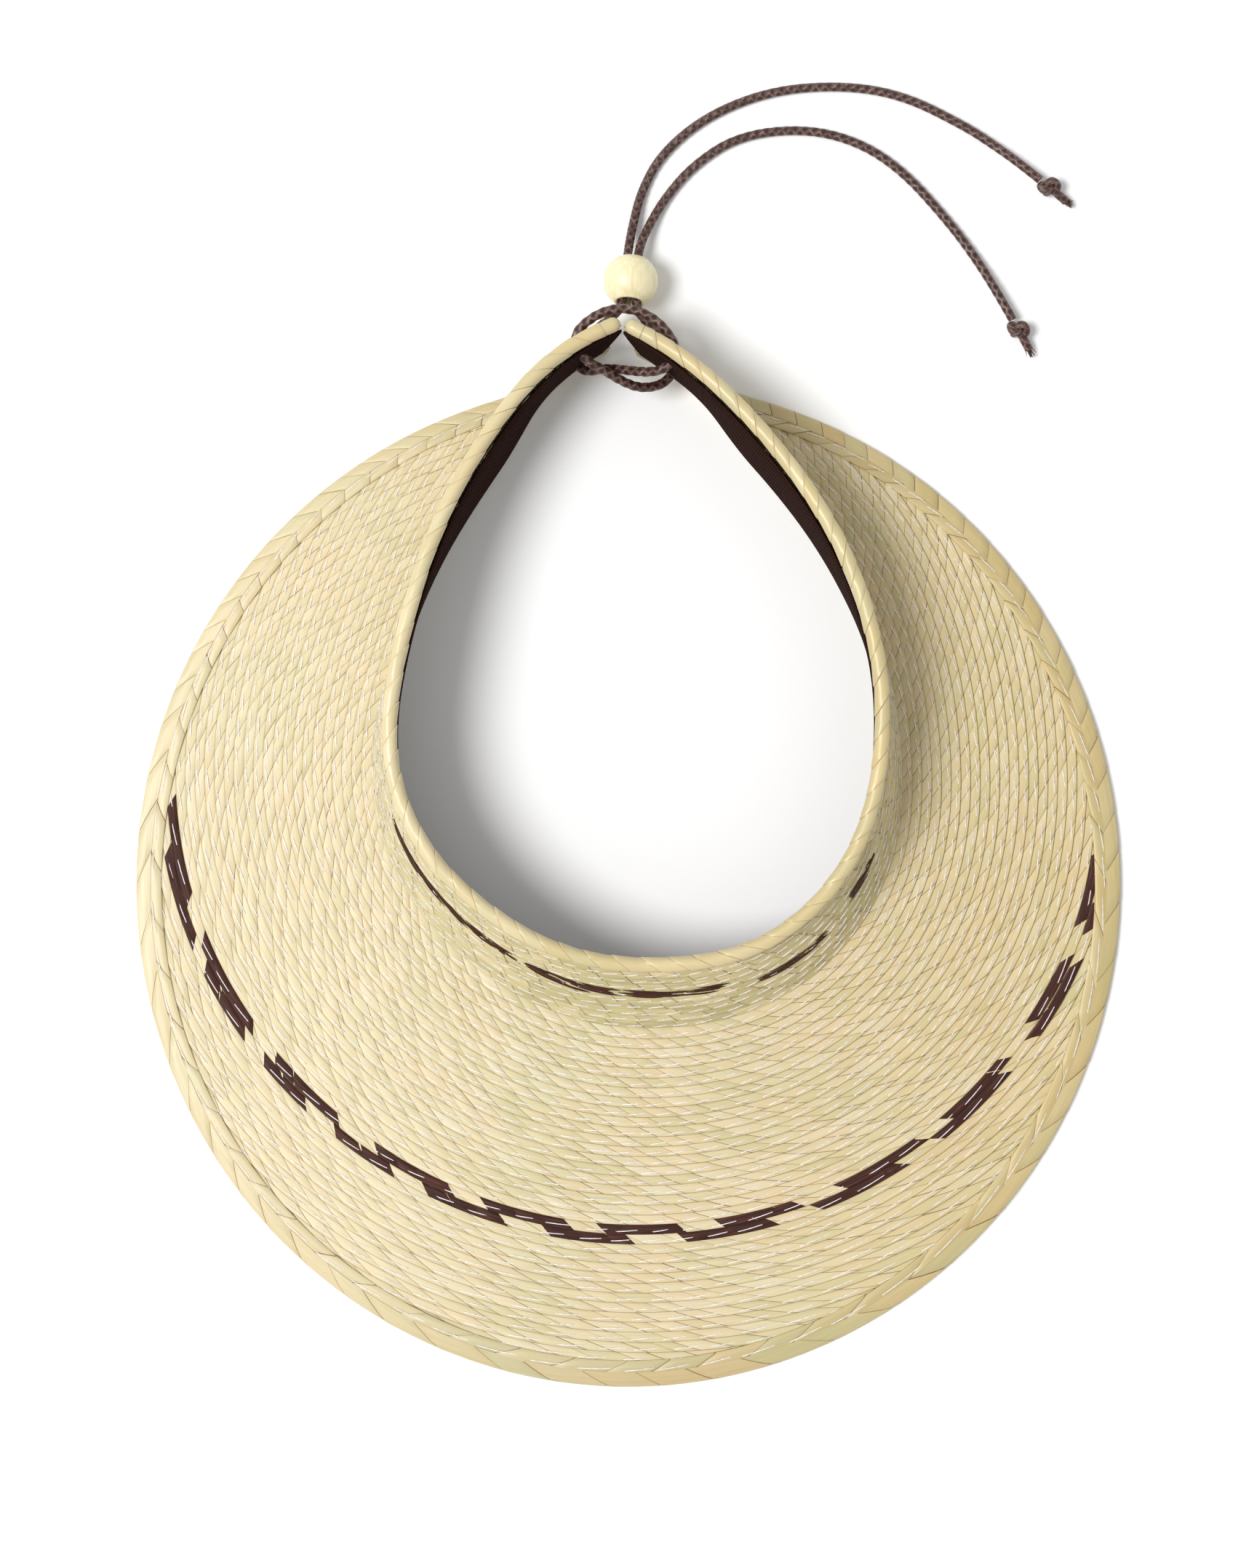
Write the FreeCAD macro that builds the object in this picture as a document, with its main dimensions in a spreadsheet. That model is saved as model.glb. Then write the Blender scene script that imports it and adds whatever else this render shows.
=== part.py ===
import FreeCAD, Part
import math
import os
import Sketcher

# Woven palm sun visor: an open crown band on a wide brim, laced together at the back.
# Millimetres, +Z up, +Y to the laced back, the floor at z = 0. The origin is on the floor,
# under the middle of the visor's own box (the two loose cord ends are not counted).

doc = FreeCAD.newDocument("SunVisor")
sheet = doc.addObject("Spreadsheet::Sheet", "Sizes")

sizes = [
    ("brimHalfWidth", 163.0, "outer edge of the brim, half width"),
    ("brimHalfLength", 166.5, "outer edge of the brim, half length"),
    ("brimCentreY", -20.45, "middle of the brim's oval"),
    ("topHeight", 47.2, "centre of the rolled edge above the floor, front and sides"),
    ("tipHeight", 35.2, "the same at the two back tips"),
    ("wallSlant", 33.0, "height of the crown band measured on its slant"),
    ("frontLean", 21.6, "how far the crease stands outside the top edge at the front"),
    ("tipCutBack", 7.0, "how far the tips are cut back at the bottom"),
    ("palmThickness", 2.0, "braided palm sheet"),
    ("bindingWidth", 9.0, "flat binding round the brim"),
    ("bindingThickness", 3.6, "flat binding round the brim"),
    ("rolledRadius", 2.8, "rolled binding on the crown's top edge"),
    ("ribbonWidth", 30.0, "inner sweatband"),
    ("ribbonThickness", 1.2, "inner sweatband"),
    ("stripThickness", 0.45, "dyed palm strips"),
    ("rowPitch", 3.3, "one row of the braid"),
    ("threadRadius", 0.3, "sewing thread"),
    ("cordRadius", 1.6, "lacing cord where it is pulled tight"),
    ("tailRadius", 1.5, "loose cord ends"),
    ("laceHoleRadius", 2.4, "lace holes"),
    ("holeBackLeft", 15.5, "left lace holes from the tip, along the band"),
    ("holeBackRight", 18.5, "right lace holes from the tip, along the band"),
    ("holeHigh", 29.0, "upper lace holes above the floor"),
    ("holeLow", 12.5, "lower lace holes above the floor"),
    ("beadRadius", 9.0, "wooden bead"),
    ("beadBore", 3.75, "radius of the bead's hole"),
    ("beadFlare", 0.9, "rounding of the bead's mouths"),
    ("knotRadius", 4.2, "knots in the cord ends"),
    ("knotFlat", 3.6, "from a knot's flat face to its middle"),
    ("knotLength", 14.0, "knot with its short cord end"),
]
for row, (name, value, note) in enumerate(sizes, start=1):
    sheet.set("A%d" % row, name)
    sheet.set("B%d" % row, str(value))
    sheet.set("C%d" % row, note)
    sheet.setAlias("B%d" % row, name)
doc.recompute()


def size(name):
    return float(getattr(sheet, name))


# ---- the crown's top edge, seen from above -------------------------------------------
# Control points of a cubic B-spline, from the left tip round the front to the right tip.
topEdge = [
    (-2.0, 162.05), (-30.0, 149.55), (-61.5, 100.55), (-74.0, 54.55), (-78.5, 20.05),
    (-65.0, -13.45), (-26.5, -42.45), (10.0, -46.45), (46.5, -40.95), (76.0, -9.95),
    (82.5, 29.05), (79.5, 62.55), (63.0, 103.55), (25.5, 147.05), (-1.5, 161.55),
]


def splinePoints(control, steps):
    """Points along a cubic B-spline that starts and ends on its end control points."""
    ends = [control[0]] * 2 + list(control) + [control[-1]] * 2
    found = []
    for i in range(len(ends) - 3):
        for k in range(steps):
            t = k / steps
            weights = ((1 - t) ** 3, 3 * t ** 3 - 6 * t ** 2 + 4,
                       -3 * t ** 3 + 3 * t ** 2 + 3 * t + 1, t ** 3)
            found.append(tuple(sum(w * ends[i + j][axis] for j, w in enumerate(weights)) / 6
                               for axis in (0, 1)))
    found.append(tuple(ends[-1]))
    return found


edgePoints = splinePoints(topEdge, 120)
edgeLength = [0.0]
for (x0, y0), (x1, y1) in zip(edgePoints, edgePoints[1:]):
    edgeLength.append(edgeLength[-1] + math.hypot(x1 - x0, y1 - y0))
bandLength = edgeLength[-1]


def edgeAt(s):
    """Point of the top edge at the length s from the left tip."""
    s = min(max(s, 0.0), bandLength)
    low, high = 0, len(edgeLength) - 1
    while high - low > 1:
        mid = (low + high) // 2
        if edgeLength[mid] <= s:
            low = mid
        else:
            high = mid
    part = (s - edgeLength[low]) / max(edgeLength[high] - edgeLength[low], 1e-9)
    (x0, y0), (x1, y1) = edgePoints[low], edgePoints[high]
    return x0 + part * (x1 - x0), y0 + part * (y1 - y0)


def smooth(x):
    x = min(max(x, 0.0), 1.0)
    return x * x * (3 - 2 * x)


def curveThrough(a, knots):
    """Monotone cubic curve through (place, value) knots, read at a."""
    n = len(knots)
    gaps = [knots[i + 1][0] - knots[i][0] for i in range(n - 1)]
    rises = [(knots[i + 1][1] - knots[i][1]) / gaps[i] for i in range(n - 1)]
    slopes = [0.0] * n
    for i in range(1, n - 1):
        if rises[i - 1] * rises[i] > 0:
            before = 2 * gaps[i] + gaps[i - 1]
            after = gaps[i] + 2 * gaps[i - 1]
            slopes[i] = (before + after) / (before / rises[i - 1] + after / rises[i])
    slopes[-1] = rises[-1]
    i = 0
    while i < n - 2 and a > knots[i + 1][0]:
        i += 1
    t = min(max((a - knots[i][0]) / gaps[i], 0.0), 1.0)
    return ((2 * t ** 3 - 3 * t ** 2 + 1) * knots[i][1] + (t ** 3 - 2 * t ** 2 + t) * gaps[i] * slopes[i]
            + (3 * t ** 2 - 2 * t ** 3) * knots[i + 1][1] + (t ** 3 - t ** 2) * gaps[i] * slopes[i + 1])


# Lean of the wall and height of its top from the front (0) to the tips (1).
leanShape = [(0, 1), (0.2, 0.81), (0.42, 0.347), (0.6, 0.046), (0.8, -0.23), (0.92, -0.176), (1, -0.106)]
EDGE_HEIGHT = 1.5


def section(u):
    """The visor cut across the band at u: -1 the left tip, 0 the front, 1 the right tip."""
    s = (u + 1) / 2 * bandLength
    x, y = edgeAt(s)
    x1, y1 = edgeAt(s + 0.5)
    x0, y0 = edgeAt(s - 0.5)
    run = math.hypot(x1 - x0, y1 - y0)
    tx, ty = (x1 - x0) / run, (y1 - y0) / run
    nx, ny = ty, -tx
    a = abs(u)
    slant = size("wallSlant")
    lean = size("frontLean") * curveThrough(a, leanShape)
    top, tip = size("topHeight"), size("tipHeight")
    topZ = curveThrough(a, [(0, top), (0.45, top), (1, tip)])
    creaseZ = topZ - math.sqrt(slant ** 2 - lean ** 2)
    # where the outward line meets the oval of the brim's edge
    halfX = size("brimHalfWidth") - size("bindingThickness") / 2
    halfY = size("brimHalfLength") - size("bindingThickness") / 2
    dy = y - size("brimCentreY")
    qa = nx ** 2 / halfX ** 2 + ny ** 2 / halfY ** 2
    qb = 2 * (x * nx / halfX ** 2 + dy * ny / halfY ** 2)
    qc = x ** 2 / halfX ** 2 + dy ** 2 / halfY ** 2 - 1
    inside = qb * qb - 4 * qa * qc
    reach = (-qb + math.sqrt(inside)) / (2 * qa) if inside > 0 else -30.0
    least = -2.5
    edge = ((reach + least) + math.sqrt((reach - least) ** 2 + 16)) / 2
    brim = math.hypot(edge - lean, creaseZ - EDGE_HEIGHT)
    return dict(u=u, x=x, y=y, tx=tx, ty=ty, nx=nx, ny=ny, lean=lean, topZ=topZ, creaseZ=creaseZ,
                edge=edge, brim=brim, slant=slant, depth=slant + brim)


def place(cut, out, z, v):
    """Point at the distance out from the top edge and height z, with the tips cut back."""
    back = -math.copysign(size("tipCutBack"), cut["u"]) * smooth((abs(cut["u"]) - 0.86) / 0.14)
    slip = back * v / cut["depth"]
    return FreeCAD.Vector(cut["x"] + cut["nx"] * out + cut["tx"] * slip,
                          cut["y"] + cut["ny"] * out + cut["ty"] * slip, z)


def onSheet(cut, v, off=0.0):
    """Point at v millimetres down the wall and out over the brim, off away from the sheet."""
    wallOut = (cut["lean"] / cut["slant"], (cut["creaseZ"] - cut["topZ"]) / cut["slant"])
    if v <= cut["slant"]:
        out, z, way = wallOut[0] * v, cut["topZ"] + wallOut[1] * v, wallOut
    else:
        way = ((cut["edge"] - cut["lean"]) / cut["brim"], (EDGE_HEIGHT - cut["creaseZ"]) / cut["brim"])
        out = cut["lean"] + way[0] * (v - cut["slant"])
        z = cut["creaseZ"] + way[1] * (v - cut["slant"])
    return place(cut, out - way[1] * off, z + way[0] * off, v)


def atCrease(cut, off):
    """Point of the mitred crease between the wall and the brim."""
    wall = (cut["lean"] / cut["slant"], (cut["creaseZ"] - cut["topZ"]) / cut["slant"])
    brim = ((cut["edge"] - cut["lean"]) / cut["brim"], (EDGE_HEIGHT - cut["creaseZ"]) / cut["brim"])
    mx, mz = -wall[1] - brim[1], wall[0] + brim[0]
    grow = off / (1 + wall[0] * brim[0] + wall[1] * brim[1])
    return place(cut, cut["lean"] + mx * grow, cut["creaseZ"] + mz * grow, cut["slant"])


def bindingFrame(cut):
    """Outer edge point, the way outward and the way up of the flat binding."""
    edge = onSheet(cut, cut["depth"])
    inward = onSheet(cut, cut["depth"] - 12)
    outward = (edge - inward).normalize()
    along = FreeCAD.Vector(cut["tx"], cut["ty"], 0)
    up = outward.cross(along).normalize()
    return edge, outward, up


def bindingInner(cut, off):
    """Point just short of the plane where the flat binding begins."""
    edge, outward, up = bindingFrame(cut)
    back = size("bindingWidth") - size("bindingThickness") / 2 + 0.45
    return edge - outward * back + up * off


def stations(start, end, count):
    return [start + (end - start) * i / (count - 1) for i in range(count)]


def polygon(points):
    return Part.makePolygon(list(points) + [points[0]])


def endCap(wire):
    """Faces that close the end of a loft; a twisted four-sided end is closed with triangles."""
    corners = [v.Point for v in wire.OrderedVertexes]
    if len(corners) < 4 or wire.findPlane(1e-6):
        return [Part.Face(wire)]
    return [Part.Face(polygon((corners[0], corners[i], corners[i + 1]))) for i in range(1, len(corners) - 1)]


def loft(wires):
    skin = Part.makeLoft(wires, False, False)
    shell = Part.makeShell(skin.Faces + endCap(wires[0]) + endCap(wires[-1]))
    shell.sewShape()
    solid = Part.makeSolid(shell)
    if solid.Volume < 0:
        solid.reverse()
    return solid


def feature(name, shape):
    made = doc.addObject("Part::Feature", name)
    made.Label = name
    made.Shape = shape
    made.Placement = FreeCAD.Placement()
    return made


# ---- braided palm ----------------------------------------------------------------------
half = size("palmThickness") / 2
bandCuts = [section(u) for u in stations(-1, 1, 65)]


def wallFoot(cut, off):
    """Lower edge of the wall: on the crease, or on the flat binding where the brim runs out."""
    share = smooth((cut["brim"] - 8) / 6)
    return atCrease(cut, off) * share + bindingInner(cut, off) * (1 - share)


def crownWire(cut):
    top = size("rolledRadius") + 0.1
    return polygon([onSheet(cut, top, half), onSheet(cut, top, -half),
                    wallFoot(cut, -half), wallFoot(cut, half)])


def brimWire(cut):
    """The brim's section, a hair clear of the wall's foot."""
    above, below = [(wallFoot(cut, off), bindingInner(cut, off)) for off in (half, -half)]
    clear = [a + (b - a).normalize() * 0.25 for a, b in (above, below)]
    return polygon([clear[0], clear[1], below[1], above[1]])


def brimEnd(side):
    """The last place, towards one tip, where the brim is wide enough to stand by itself."""
    u = 0.5
    while u < 0.998 and (bindingInner(section(side * u), 0) - wallFoot(section(side * u), 0)).Length > 1.5:
        u += 0.001
    return side * (u - 0.001)


feature("brim_braid", loft([brimWire(section(u)) for u in stations(brimEnd(-1), brimEnd(1), 61)]))
crownSheet = feature("crown_sheet", loft([crownWire(c) for c in bandCuts]))


# ---- sweatband ribbon inside the crown -------------------------------------------------
def wallPoint(cut, share, off):
    """Point between the wall's top (share 0) and its foot (share 1), off away from the sheet."""
    return onSheet(cut, size("rolledRadius") + 0.1, off) * (1 - share) + wallFoot(cut, off) * share


def ribbonWire(cut):
    near = half + 0.2
    far = near + size("ribbonThickness")
    deep = (wallFoot(cut, 0) - wallPoint(cut, 0, 0)).Length
    top = 0.4 / deep
    low = min((0.4 + size("ribbonWidth")) / deep, 1 - 0.4 / deep)
    return polygon([wallPoint(cut, top, -near), wallPoint(cut, top, -far),
                    wallPoint(cut, low, -far), wallPoint(cut, low, -near)])


ribbonSheet = feature("ribbon_sheet", loft([ribbonWire(c) for c in bandCuts]))


# ---- lace holes through the crown and the ribbon ---------------------------------------
def holeCentre(side, back, height):
    cut = section(side * (1 - back / (bandLength / 2)))
    v = (cut["topZ"] - height) / (cut["topZ"] - cut["creaseZ"]) * cut["slant"]
    return onSheet(cut, v), FreeCAD.Vector(cut["nx"], cut["ny"], 0)


holes = []
for name, side, backName in (("left", -1, "holeBackLeft"), ("right", 1, "holeBackRight")):
    for level in ("holeHigh", "holeLow"):
        centre, outward = holeCentre(side, size(backName), size(level))
        drill = doc.addObject("Part::Cylinder", "drill_%s_%s" % (name, level))
        drill.setExpression("Radius", "Sizes.laceHoleRadius")
        drill.setExpression("Height", "Sizes.palmThickness * 8")
        turn = FreeCAD.Rotation(FreeCAD.Vector(0, 0, 1), outward)
        drill.Placement = FreeCAD.Placement(centre - outward * size("palmThickness") * 4, turn)
        holes.append(drill)
        print("hole", name, level, [round(c, 1) for c in centre], [round(c, 2) for c in outward])
drills = doc.addObject("Part::Compound", "drills")
drills.Links = holes
for name, base in (("crown_braid", crownSheet), ("sweatband", ribbonSheet)):
    cutout = doc.addObject("Part::Cut", name)
    cutout.Label = name
    cutout.Base = base
    cutout.Tool = drills


# ---- flat binding round the brim ---------------------------------------------------------
def bindingWire(cut):
    edge, outward, up = bindingFrame(cut)
    r = size("bindingThickness") / 2
    back = size("bindingWidth") - r
    outline = [(r * math.cos(math.radians(90 - k * 3)), r * math.sin(math.radians(90 - k * 3)))
               for k in range(61)]
    outline += [(-back * k / 40, -r) for k in range(1, 41)]
    points = [edge + outward * a + up * b for a, b in outline]
    under = [i for i, p in enumerate(points) if p.z < 0]
    first, last = under[0], under[-1]

    def floorPoint(i, j):
        share = points[i].z / (points[i].z - points[j].z)
        return points[i] + (points[j] - points[i]) * share

    cap = [points[round(first * k / 6)] for k in range(6)]
    rest = len(points) - 1 - last
    bottom = [points[last + 1 + round((rest - 1) * k / 4)] for k in range(5)]
    wire = [edge - outward * back + up * r] + cap
    wire += [floorPoint(first - 1, first), floorPoint(last + 1, last)] + bottom[1:]
    return polygon(wire)


feature("brim_edge_binding", loft([bindingWire(c) for c in bandCuts]))


# ---- rolled binding on the crown's top edge ----------------------------------------------
def ringWire(centre, along, radius):
    return Part.Wire([Part.makeCircle(radius, centre, along)])


def rolledBinding():
    radius, gap = size("rolledRadius"), 0.6
    backs = [gap + step for step in (0.25, 0.7, 1.4, 2.3, 3.4, 6.0)]
    middles = stations(12, bandLength - 12, 57)
    places = backs + middles + [bandLength - b for b in reversed(backs)]
    wires = []
    for s in places:
        end = min(s, bandLength - s) - gap
        share = min(end / radius, 1.0)
        here = onSheet(section(2 * s / bandLength - 1), 0)
        ahead = onSheet(section(2 * min(s + 0.5, bandLength) / bandLength - 1), 0)
        behind = onSheet(section(2 * max(s - 0.5, 0) / bandLength - 1), 0)
        wires.append(ringWire(here, ahead - behind, radius * math.sqrt(1 - (1 - share) ** 2)))
    return loft(wires)


feature("crown_edge_binding", rolledBinding())


# ---- dyed palm strips woven into the braid -----------------------------------------------
# Each strip is (start, end) in millimetres along the band from the middle of the front.
brimRowInner = [(-112.5, -97.6), (-91.7, -76.2), (-70.3, -54.5), (-46.2, -32.2), (-27, -13.5), (-8.2, 6.8),
                (13.5, 26.2), (32.5, 45), (49.5, 62), (69, 80), (85.5, 90)]
brimRowOuter = [(-105.5, -91.7), (-87.9, -76.4), (-71.5, -60.8), (-54, -42), (-36, -23.5), (-17, -3),
                (6.8, 22), (28.5, 41), (46.8, 60.5), (67, 80)]
crownStrips = [(-99, -40, 13.6, 16.2), (-38, -9.5, 13.6, 16.6), (-9, 24, 13.6, 16.6), (31, 56.5, 16.9, 19.4),
               (63, 81, 14.2, 17.4)]
STRIP_SLANT = 2.0


def strip(start, end, inner, outer, slant):
    """A thin plate on the sheet between two rows, its ends cut on the slant."""
    count = max(4, int((end - start) / 4))
    below, above = half + 0.05, half + 0.05 + size("stripThickness")
    wires = []
    for place1 in stations(start, end, count):
        cut1 = section((place1 - slant / 2) / (bandLength / 2))
        cut2 = section((place1 + slant / 2) / (bandLength / 2))
        wires.append(polygon([onSheet(cut1, inner, below), onSheet(cut1, inner, above),
                              onSheet(cut2, outer, above), onSheet(cut2, outer, below)]))
    return loft(wires)


pitch = size("rowPitch")
innerRow = 100.5
plates = [strip(a, b, innerRow, innerRow + pitch - 0.3, STRIP_SLANT) for a, b in brimRowInner]
plates += [strip(a, b, innerRow + pitch, innerRow + 2 * pitch - 0.3, STRIP_SLANT) for a, b in brimRowOuter]
feature("brim_dyed_strips", Part.makeCompound(plates))
feature("crown_dyed_strips", Part.makeCompound([strip(a, b, v0, v1, 1.2) for a, b, v0, v1 in crownStrips]))


# ---- sewing thread -----------------------------------------------------------------------
def threadWire(centre, across, up):
    """Six-sided section of the thread."""
    radius = size("threadRadius")
    turns = [math.radians(60 * k + 30) for k in range(6)]
    return polygon([centre + across * (radius * math.cos(t)) + up * (radius * math.sin(t)) for t in turns])


def bindingThread(cut):
    edge, outward, up = bindingFrame(cut)
    lift = size("bindingThickness") / 2 + size("threadRadius") + 0.3
    return threadWire(edge - outward * 4.2 + up * lift, outward, up)


def crownThread(cut):
    v = size("rolledRadius") + 1.4
    centre = onSheet(cut, v, half + size("threadRadius") + 0.12)
    up = (centre - onSheet(cut, v)).normalize()
    across = (onSheet(cut, v + 1) - onSheet(cut, v)).normalize()
    return threadWire(centre, across, up)


bindingRun = [section(u) for u in stations(-0.9, 0.9, 61)]
crownRun = [section(u) for u in stations(-0.985, 0.985, 65)]
feature("sewing_thread", Part.makeCompound([loft([bindingThread(c) for c in bindingRun]),
                                            loft([crownThread(c) for c in crownRun])]))


# ---- cords -------------------------------------------------------------------------------
def cordTube(name, points, radius):
    """Straight runs joined by tangent arcs, swept with a round section."""
    corners = [FreeCAD.Vector(*p) for p in points]
    edges = []
    radii = []
    start = corners[0]
    for before, corner, after in zip(corners, corners[1:], corners[2:]):
        runIn, runOut = (corner - before).Length, (after - corner).Length
        back = 0.45 * min(runIn, runOut)
        toBefore, toAfter = (before - corner).normalize(), (after - corner).normalize()
        turn = math.pi - toBefore.getAngle(toAfter)
        first, last = corner + toBefore * back, corner + toAfter * back
        bend = back / math.tan(turn / 2)
        radii.append(round(bend, 1))
        middleWay = (toBefore + toAfter).normalize()
        middle = corner + middleWay * (bend / math.cos(turn / 2) - bend)
        edges.append(Part.LineSegment(start, first).toShape())
        edges.append(Part.Arc(first, middle, last).toShape())
        start = last
    edges.append(Part.LineSegment(start, corners[-1]).toShape())
    path = Part.Wire(edges)
    profile = ringWire(corners[0], corners[1] - corners[0], radius)
    solid = path.makePipeShell([profile], True, False)
    ideal = math.pi * radius ** 2 * path.Length
    print(name, "length", round(path.Length, 1), "volume ratio", round(solid.Volume / ideal, 4),
          "smallest bends", sorted(radii)[:5])
    return feature(name, solid)


# The bead sits on both cords, its hole sloping down to the floor behind the visor.
beadCentre = FreeCAD.Vector(0.8, 178.25, 10.2)
beadAxis = FreeCAD.Vector(math.sin(math.radians(4)) * math.cos(math.radians(16)),
                          math.cos(math.radians(4)) * math.cos(math.radians(16)),
                          -math.sin(math.radians(16)))

lacingRoute = [
    (2.97, 184.84, 8.27), (1.93, 169.98, 12.54), (5.4, 165.2, 13.0), (11.5, 158.0, 12.8),
    (16.9, 151.3, 12.5), (12.7, 145.0, 12.5), (8.6, 143.0, 14.9), (3.6, 142.4, 18.2),
    (-1.5, 143.9, 21.7), (-7.5, 147.2, 25.8), (-14.1, 150.4, 29.0), (-18.0, 156.9, 29.0),
    (-14.6, 162.3, 29.8), (-6.5, 166.9, 30.3), (2.0, 166.9, 30.3), (10.2, 162.8, 30.0),
    (16.5, 153.8, 29.0), (12.3, 147.4, 29.0), (6.5, 146.7, 25.5), (0.3, 147.7, 21.6),
    (-7.0, 149.0, 17.0), (-15.1, 147.8, 12.5), (-19.0, 154.3, 12.5), (-11.8, 161.0, 12.9),
    (-5.3, 166.2, 13.0), (-1.47, 170.22, 12.54), (-0.43, 185.08, 8.27),
]
outerTailRoute = [
    (-0.43, 185.08, 8.27), (0.1, 189.6, 6.9), (1.5, 197.5, 3.4), (4.3, 209.0, 1.6), (11.0, 221.5, 1.6),
    (25.7, 233.8, 1.6), (46.5, 242.2, 1.6), (69.9, 244.2, 1.6), (90.7, 241.0, 1.6),
    (111.5, 230.6, 1.6), (121.0, 224.2, 2.4), (129.2, 218.0, 4.3), (136.2, 212.4, 4.3),
]
innerTailRoute = [
    (2.97, 184.84, 8.27), (3.5, 189.4, 6.9), (6.6, 197.0, 3.6), (12.2, 206.8, 1.6), (21.5, 217.6, 1.6),
    (36.1, 227.2, 1.6), (56.9, 229.9, 1.6), (75.1, 226.0, 1.6), (90.7, 216.1, 1.6),
    (106.3, 198.7, 1.6), (114.8, 187.0, 2.4), (121.4, 176.2, 4.3), (127.1, 166.2, 4.3),
]
lacing = cordTube("lacing", lacingRoute, size("cordRadius"))
outerTail = cordTube("lace_tail_outer", outerTailRoute, size("tailRadius"))
innerTail = cordTube("lace_tail_inner", innerTailRoute, size("tailRadius"))


# ---- bead and knots ------------------------------------------------------------------------
def originPlane(body, role):
    return [f for f in body.Origin.OriginFeatures if f.Role == role][0]


def newSketch(body, name, role):
    sketch = body.newObject("Sketcher::SketchObject", name)
    sketch.AttachmentSupport = [(originPlane(body, role), "")]
    sketch.MapMode = "FlatFace"
    return sketch


def point(x, y):
    return FreeCAD.Vector(x, y, 0)


def beadBody():
    body = doc.addObject("PartDesign::Body", "bead")
    body.Label = "bead"
    ball = newSketch(body, "beadOutline", "XY_Plane")
    r = size("beadRadius")
    arc = Part.ArcOfCircle(Part.Circle(point(0, 0), FreeCAD.Vector(0, 0, 1), r), -math.pi / 2, math.pi / 2)
    ball.addGeometry(arc, False)
    ball.addGeometry(Part.LineSegment(point(0, r), point(0, -r)), False)
    ball.addConstraint(Sketcher.Constraint("Coincident", 0, 2, 1, 1))
    ball.addConstraint(Sketcher.Constraint("Coincident", 0, 1, 1, 2))
    ball.addConstraint(Sketcher.Constraint("Coincident", 0, 3, -1, 1))
    ball.addConstraint(Sketcher.Constraint("PointOnObject", 1, 1, -2))
    ball.addConstraint(Sketcher.Constraint("PointOnObject", 1, 2, -2))
    ball.addConstraint(Sketcher.Constraint("Radius", 0, r))
    ball.renameConstraint(5, "ballRadius")
    ball.setExpression("Constraints.ballRadius", "Sizes.beadRadius")
    turned = body.newObject("PartDesign::Revolution", "beadBall")
    turned.Profile = ball
    turned.ReferenceAxis = (ball, ["V_Axis"])
    turned.Angle = 360
    doc.recompute()
    mouth = newSketch(body, "beadHole", "XZ_Plane")
    bore = size("beadBore")
    mouth.addGeometry(Part.Circle(point(0, 0), FreeCAD.Vector(0, 0, 1), bore), False)
    mouth.addConstraint(Sketcher.Constraint("Coincident", 0, 3, -1, 1))
    mouth.addConstraint(Sketcher.Constraint("Radius", 0, bore))
    mouth.renameConstraint(1, "boreRadius")
    mouth.setExpression("Constraints.boreRadius", "Sizes.beadBore")
    hole = body.newObject("PartDesign::Pocket", "beadBoreCut")
    hole.Profile = mouth
    hole.Type = 0
    hole.Midplane = True
    hole.setExpression("Length", "Sizes.beadRadius * 4")
    doc.recompute()
    rims = ["Edge%d" % (i + 1) for i, e in enumerate(hole.Shape.Edges)
            if isinstance(e.Curve, Part.Circle) and abs(e.Curve.Radius - bore) < 0.01
            and abs(e.Curve.Axis.y) > 0.9]
    lips = body.newObject("PartDesign::Fillet", "beadLips")
    lips.Base = (hole, rims)
    lips.setExpression("Radius", "Sizes.beadFlare")
    body.Tip = lips
    turn = FreeCAD.Rotation(FreeCAD.Vector(0, 1, 0), beadAxis)
    body.Placement = FreeCAD.Placement(beadCentre, turn)
    return body


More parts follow.
